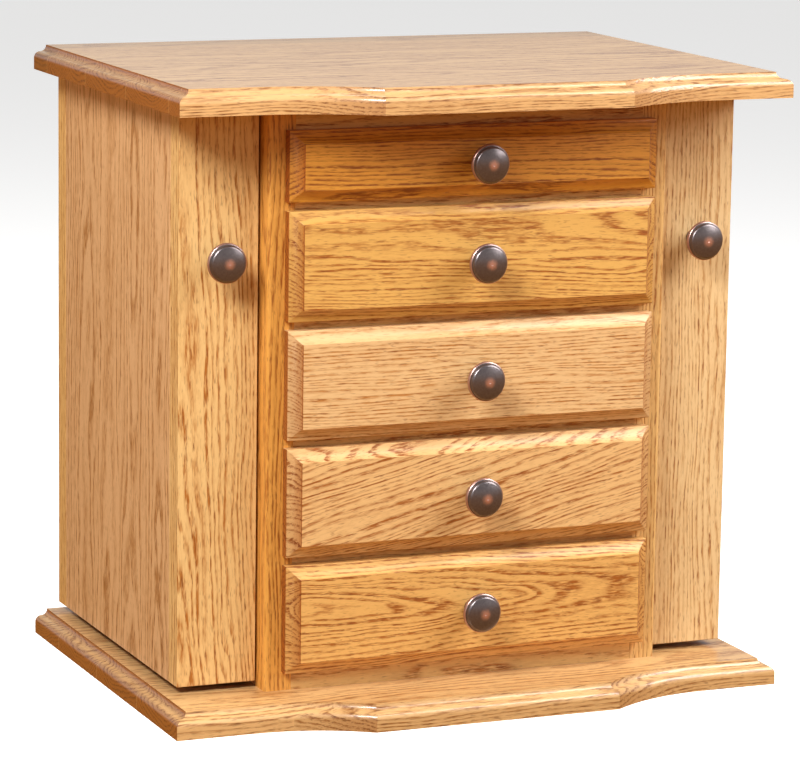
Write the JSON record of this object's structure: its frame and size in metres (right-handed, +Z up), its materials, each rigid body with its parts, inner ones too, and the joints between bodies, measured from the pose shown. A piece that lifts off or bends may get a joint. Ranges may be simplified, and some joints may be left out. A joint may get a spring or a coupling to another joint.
{
  "type": "jewelry armoire",
  "caption": "Tabletop oak jewelry chest with moulded, bow-fronted boards, drawers behind bevelled fronts and swing-out necklace cabinets at the sides.",
  "frame": {"origin": "middle of the whole armoire's footprint, on the surface that it stands on", "axes": "+X to the right as one faces the drawers, +Y to the rear, +Z up"},
  "size_m": [0.491, 0.3777, 0.476],
  "materials": {
    "oak": "honey stain under satin lacquer",
    "box_wood": "sealed pale hardwood",
    "plywood": "sealed birch plywood",
    "felt": "pressed felt",
    "bronze": "oil-rubbed bronze",
    "brass": "polished and lacquered",
    "steel": "zinc plated"
  },
  "bodies": {
    "cabinet": {"base_board": "oak", "top_board": "oak", "case_side_left": "oak", "case_side_right": "oak", "case_back": "plywood", "face_stile_left": "oak", "face_stile_right": "oak", "face_top_rail": "oak", "face_bottom_rail": "oak", "face_divider_rails": "oak", "drawer_runners": "box_wood", "top_cleats": "box_wood", "case_hinge_leaves": "brass", "hinge_pins": "brass", "catch_magnets": "steel", "case_screws": "steel"},
    "door_left": {"door_left_front_board": "oak", "door_left_back_board": "oak", "door_left_side_panel": "oak", "door_left_floor_and_ceiling": "oak", "door_left_necklace_rail": "oak", "door_left_hooks": "brass", "door_left_hinge_leaf": "brass", "door_left_knob": "bronze", "door_left_fasteners": "steel"},
    "door_right": {"door_right_front_board": "oak", "door_right_back_board": "oak", "door_right_side_panel": "oak", "door_right_floor_and_ceiling": "oak", "door_right_necklace_rail": "oak", "door_right_hooks": "brass", "door_right_hinge_leaf": "brass", "door_right_knob": "bronze", "door_right_fasteners": "steel"},
    "drawer_1": {"drawer_1_front": "oak", "drawer_1_box": "box_wood", "drawer_1_bottom": "plywood", "drawer_1_liner": "felt", "drawer_1_knob": "bronze"},
    "drawer_2": {"drawer_2_front": "oak", "drawer_2_box": "box_wood", "drawer_2_bottom": "plywood", "drawer_2_liner": "felt", "drawer_2_knob": "bronze"},
    "drawer_3": {"drawer_3_front": "oak", "drawer_3_box": "box_wood", "drawer_3_bottom": "plywood", "drawer_3_liner": "felt", "drawer_3_knob": "bronze"},
    "drawer_4": {"drawer_4_front": "oak", "drawer_4_box": "box_wood", "drawer_4_bottom": "plywood", "drawer_4_liner": "felt", "drawer_4_knob": "bronze"},
    "drawer_5": {"drawer_5_front": "oak", "drawer_5_box": "box_wood", "drawer_5_bottom": "plywood", "drawer_5_liner": "felt", "drawer_5_knob": "bronze"}
  },
  "joints": [
    {"name": "door_left_swing", "type": "hinge", "parent": "cabinet", "child": "door_left", "pos_m": [-0.1625, 0.18685, 0.24], "axis": [0, 0, -1], "range_deg": [0, 110]},
    {"name": "door_right_swing", "type": "hinge", "parent": "cabinet", "child": "door_right", "pos_m": [0.1625, 0.18685, 0.24], "axis": [0, 0, 1], "range_deg": [0, 110]},
    {"name": "drawer_1_slide", "type": "slide", "parent": "cabinet", "child": "drawer_1", "axis": [0, -1, 0], "range_m": [0, 0.2]},
    {"name": "drawer_2_slide", "type": "slide", "parent": "cabinet", "child": "drawer_2", "axis": [0, -1, 0], "range_m": [0, 0.2]},
    {"name": "drawer_3_slide", "type": "slide", "parent": "cabinet", "child": "drawer_3", "axis": [0, -1, 0], "range_m": [0, 0.2]},
    {"name": "drawer_4_slide", "type": "slide", "parent": "cabinet", "child": "drawer_4", "axis": [0, -1, 0], "range_m": [0, 0.2]},
    {"name": "drawer_5_slide", "type": "slide", "parent": "cabinet", "child": "drawer_5", "axis": [0, -1, 0], "range_m": [0, 0.2]}
  ]
}
